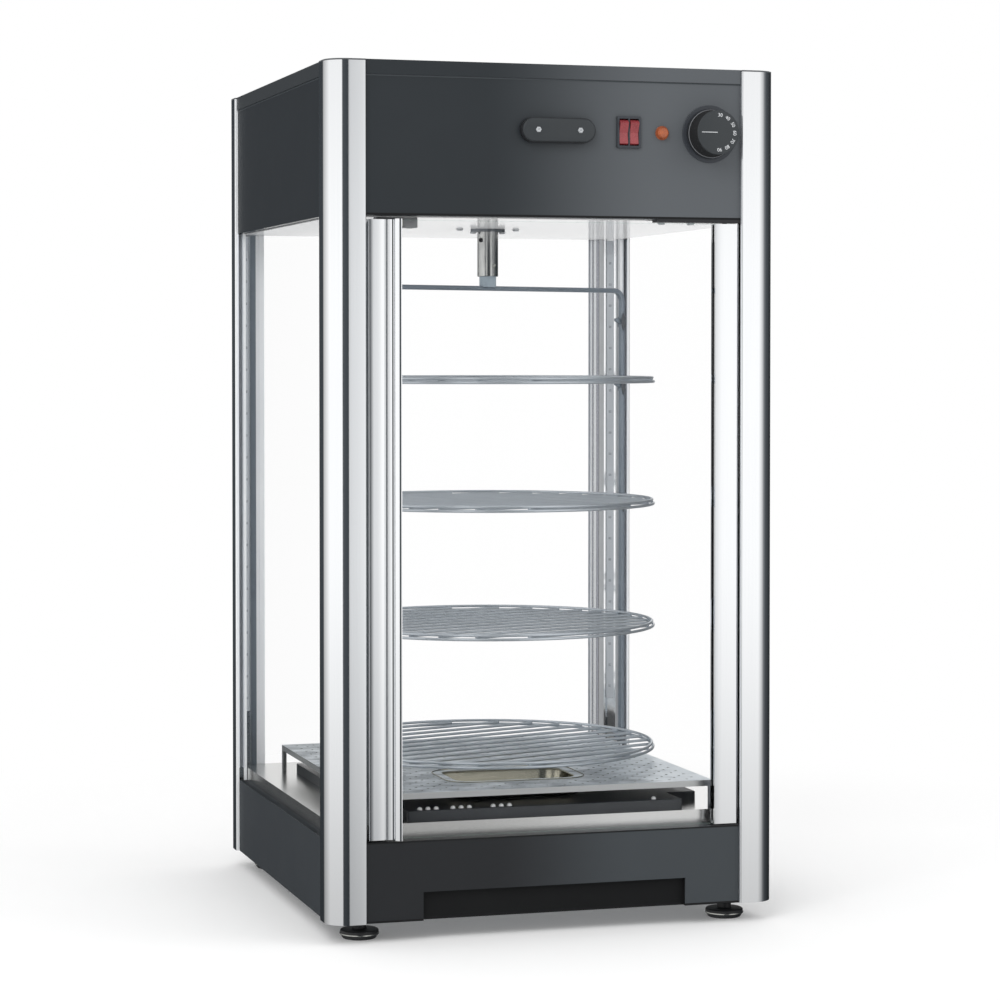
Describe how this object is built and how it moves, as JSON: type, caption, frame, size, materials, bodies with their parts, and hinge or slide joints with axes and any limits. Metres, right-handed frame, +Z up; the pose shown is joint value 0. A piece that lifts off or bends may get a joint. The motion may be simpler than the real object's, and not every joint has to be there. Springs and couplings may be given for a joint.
{
  "type": "heated display case",
  "caption": "Countertop heated display case with glass walls, hinged glass door, revolving wire rack, water pan and top controls.",
  "frame": {"origin": "on the counter, under the middle of the whole object's outline", "axes": "+Z up, -Y towards the door and the controls, +X to the right of a person facing the door"},
  "size_m": [0.462, 0.529, 0.855],
  "materials": {
    "anodised_post": "bright anodised extrusion with fine drawn lines",
    "cap_grey": "grey moulded cap",
    "charcoal_paint": "charcoal powder coat, fine satin texture",
    "matt_black": "matt black",
    "galvanised": "plain galvanised sheet",
    "zinc_plate": "bright zinc plate",
    "foot_rubber": "black moulded foot on a zinc-plated stem",
    "stainless": "brushed stainless sheet",
    "dark_steel": "heat-resistant dark coating",
    "element_sheath": "heat-tinted steel sheath",
    "clear_glass": "clear toughened glass, 4 mm",
    "lamp_strip": "white lamp strip with small diodes",
    "polished_steel": "mirror-polished stainless",
    "chrome_wire": "chrome-plated wire and flat bar",
    "satin_aluminium": "satin anodised",
    "black_plastic": "black moulded plastic",
    "black_steel": "black powder coat",
    "red_lens": "translucent red, lit from inside",
    "amber_lens": "translucent amber, lit from inside",
    "ivory_plastic": "ivory moulded plastic"
  },
  "bodies": {
    "cabinet": {"base_front_panel": "charcoal_paint", "base_left_panel": "charcoal_paint", "base_rear_panel": "charcoal_paint", "base_right_panel": "charcoal_paint", "base_tray": "galvanised", "blank_plate": "satin_aluminium", "cable_gland": "black_plastic", "ceiling_panel": "polished_steel", "door_catch": "black_plastic", "floor_deck": "stainless", "foot_bushes": "zinc_plate", "gear_motor": "zinc_plate", "glass_left": "clear_glass", "glass_rear": "clear_glass", "glass_right": "clear_glass", "header_front_panel": "charcoal_paint", "header_left_panel": "charcoal_paint", "header_rear_panel": "charcoal_paint", "header_right_panel": "charcoal_paint", "heat_baffle": "dark_steel", "heat_bench": "stainless", "heating_elements": "element_sheath", "knob_scale": "black_plastic", "lamp_strips": "lamp_strip", "lower_hinge_plate": "black_steel", "notch_pocket": "matt_black", "pilot_lamp": "amber_lens", "post_caps": "cap_grey", "post_front_left": "anodised_post", "post_front_right": "anodised_post", "post_rear_left": "anodised_post", "post_rear_right": "anodised_post", "power_supply": "galvanised", "shaft_bearing": "polished_steel", "small_screws": "zinc_plate", "switch_housing": "black_plastic", "terminal_block": "ivory_plastic", "thermostat_body": "black_plastic", "top_cover": "charcoal_paint", "upper_hinge_plate": "black_steel"},
    "door": {"door_glass": "clear_glass", "door_left_stile": "satin_aluminium", "door_right_stile": "satin_aluminium", "pivot_blocks": "black_plastic", "door_handle": "satin_aluminium"},
    "rack": {"drive_tube": "polished_steel", "rack_pin": "zinc_plate", "rack_hanger": "chrome_wire"},
    "shelf_1": {"shelf_1": "chrome_wire"},
    "shelf_2": {"shelf_2": "chrome_wire"},
    "shelf_3": {"shelf_3": "chrome_wire"},
    "shelf_4": {"shelf_4": "chrome_wire"},
    "pan": {"water_pan": "stainless"},
    "knob": {"thermostat_knob": "black_plastic"},
    "rocker_left": {"rocker_left": "red_lens"},
    "rocker_right": {"rocker_right": "red_lens"},
    "foot_front_left": {"foot_front_left": "foot_rubber"},
    "foot_front_right": {"foot_front_right": "foot_rubber"},
    "foot_rear_left": {"foot_rear_left": "foot_rubber"},
    "foot_rear_right": {"foot_rear_right": "foot_rubber"}
  },
  "joints": [
    {"name": "door_hinge", "type": "hinge", "parent": "cabinet", "child": "door", "pos_m": [0.1785, -0.23185, 0.401], "axis": [0, 0, 1], "range_deg": [0, 110]},
    {"name": "rack_spin", "type": "hinge", "parent": "cabinet", "child": "rack", "pos_m": [0, 0.00115, 0.4], "axis": [0, 0, 1], "continuous": true},
    {"name": "knob_turn", "type": "hinge", "parent": "cabinet", "child": "knob", "pos_m": [0.1595, -0.25245, 0.7905], "axis": [0, 1, 0], "range_deg": [0, 270]},
    {"name": "left_rocker_press", "type": "hinge", "parent": "cabinet", "child": "rocker_left", "pos_m": [0.06905, -0.23385, 0.7905], "axis": [-1, 0, 0], "range_deg": [0, 16]},
    {"name": "right_rocker_press", "type": "hinge", "parent": "cabinet", "child": "rocker_right", "pos_m": [0.07995, -0.23385, 0.7905], "axis": [-1, 0, 0], "range_deg": [0, 16]},
    {"name": "front_left_foot_screw", "type": "slide", "parent": "cabinet", "child": "foot_front_left", "axis": [0, 0, 1], "range_m": [-0.008, 0]},
    {"name": "front_right_foot_screw", "type": "slide", "parent": "cabinet", "child": "foot_front_right", "axis": [0, 0, 1], "range_m": [-0.008, 0]},
    {"name": "rear_left_foot_screw", "type": "slide", "parent": "cabinet", "child": "foot_rear_left", "axis": [0, 0, 1], "range_m": [-0.008, 0]},
    {"name": "rear_right_foot_screw", "type": "slide", "parent": "cabinet", "child": "foot_rear_right", "axis": [0, 0, 1], "range_m": [-0.008, 0]},
    {"name": "shelf_1_lift", "type": "slide", "parent": "rack", "child": "shelf_1", "axis": [0, 0, 1], "range_m": [0, 0.03]},
    {"name": "shelf_2_lift", "type": "slide", "parent": "rack", "child": "shelf_2", "axis": [0, 0, 1], "range_m": [0, 0.03]},
    {"name": "shelf_3_lift", "type": "slide", "parent": "rack", "child": "shelf_3", "axis": [0, 0, 1], "range_m": [0, 0.03]},
    {"name": "shelf_4_lift", "type": "slide", "parent": "rack", "child": "shelf_4", "axis": [0, 0, 1], "range_m": [0, 0.03]},
    {"name": "pan_lift", "type": "slide", "parent": "cabinet", "child": "pan", "axis": [0, 0, 1], "range_m": [0, 0.008]}
  ]
}
